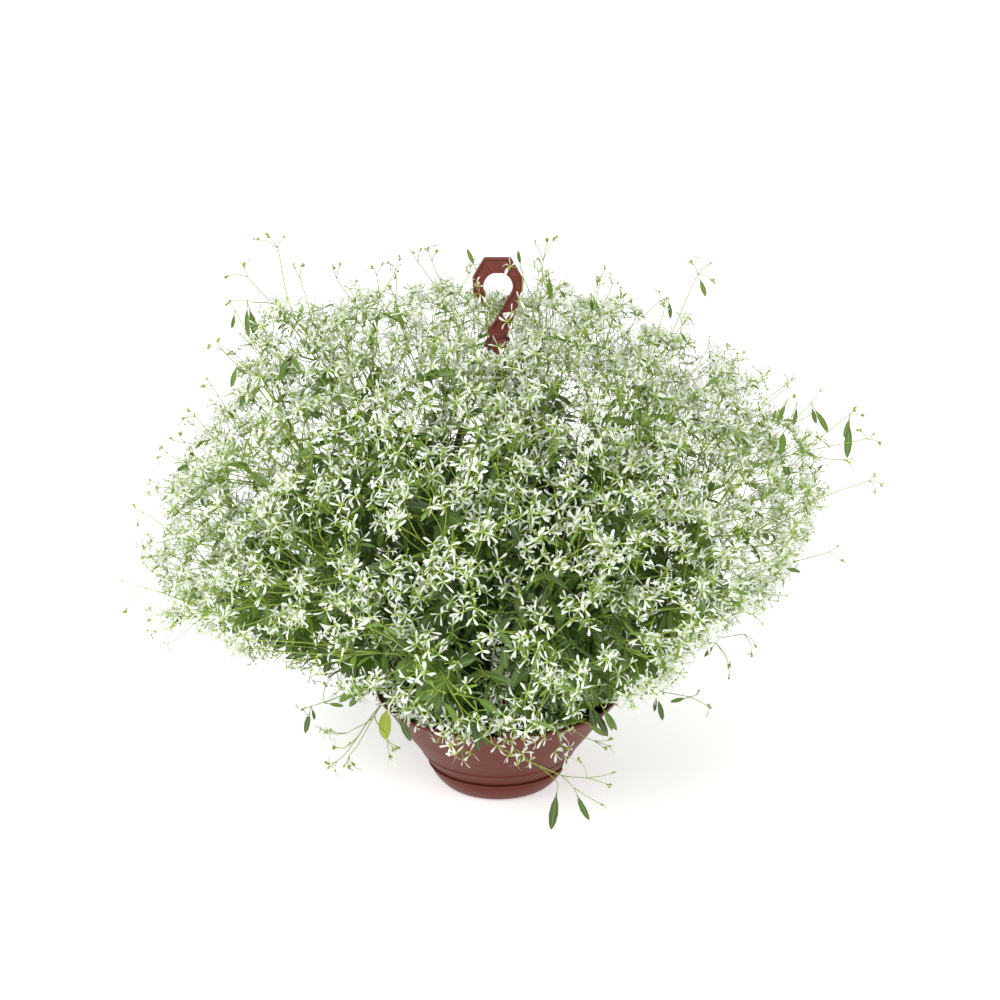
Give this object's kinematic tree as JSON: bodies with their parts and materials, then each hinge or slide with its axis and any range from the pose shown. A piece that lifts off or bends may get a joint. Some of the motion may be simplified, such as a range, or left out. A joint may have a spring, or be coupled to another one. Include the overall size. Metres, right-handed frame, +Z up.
{
  "type": "potted euphorbia",
  "caption": "Mounded euphorbia with many small white bracts in a shallow round plastic hanging pot with a clip-on saucer and a three-arm hook hanger.",
  "frame": {"origin": "centre of the drip saucer's flat underside, on the surface that the pot stands on", "axes": "+Z up along the pot's and the hook's axis; -Y is the side that the picture shows, and +X is to its right"},
  "size_m": [0.6145, 0.6056, 0.507],
  "materials": {
    "pot_plastic": "satin",
    "saucer_plastic": "satin",
    "hanger_plastic": "satin",
    "soil": "matte",
    "foliage": "matte",
    "bracts": "matte",
    "yellowed_leaf": "matte"
  },
  "bodies": {
    "root": {"pot": "pot_plastic", "drip_saucer": "saucer_plastic", "potting_mix": "soil", "hanger_hook": "hanger_plastic", "hanger_arm_front": "hanger_plastic", "hanger_arm_left": "hanger_plastic", "hanger_arm_right": "hanger_plastic", "leafy_stem_01": "foliage", "leafy_stem_02": "foliage", "leafy_stem_03": "foliage", "leafy_stem_04": "foliage", "leafy_stem_05": "foliage", "leafy_stem_06": "foliage", "leafy_stem_07": "foliage", "leafy_stem_08": "foliage", "leafy_stem_09": "foliage", "leafy_stem_10": "foliage", "leafy_stem_11": "foliage", "leafy_stem_12": "foliage", "leafy_stem_13": "foliage", "leafy_stem_14": "foliage", "leafy_stem_15": "foliage", "leafy_stem_16": "foliage", "leafy_stem_17": "foliage", "leafy_stem_18": "foliage", "leafy_stem_19": "foliage", "leafy_stem_20": "foliage", "leafy_stem_21": "foliage", "leafy_stem_22": "foliage", "flower_spray_01": "bracts", "flower_spray_02": "bracts", "flower_spray_03": "bracts", "flower_spray_04": "bracts", "flower_spray_05": "bracts", "flower_spray_06": "bracts", "flower_spray_07": "bracts", "flower_spray_08": "bracts", "flower_spray_09": "bracts", "flower_spray_10": "bracts", "flower_spray_11": "bracts", "flower_spray_12": "bracts", "flower_spray_13": "bracts", "flower_spray_14": "bracts", "flower_spray_15": "bracts", "flower_spray_16": "bracts", "flower_spray_17": "bracts", "flower_spray_18": "bracts", "flower_spray_19": "bracts", "flower_spray_20": "bracts", "flower_spray_21": "bracts", "flower_spray_22": "bracts", "low_sprig_front_left": "foliage", "low_sprig_front_middle": "foliage", "low_sprig_front_right": "foliage", "low_sprig_left": "foliage", "low_sprig_far_left": "foliage", "low_sprig_right": "foliage", "low_sprig_hanging": "foliage", "old_leaf": "yellowed_leaf"}
  },
  "joints": []
}
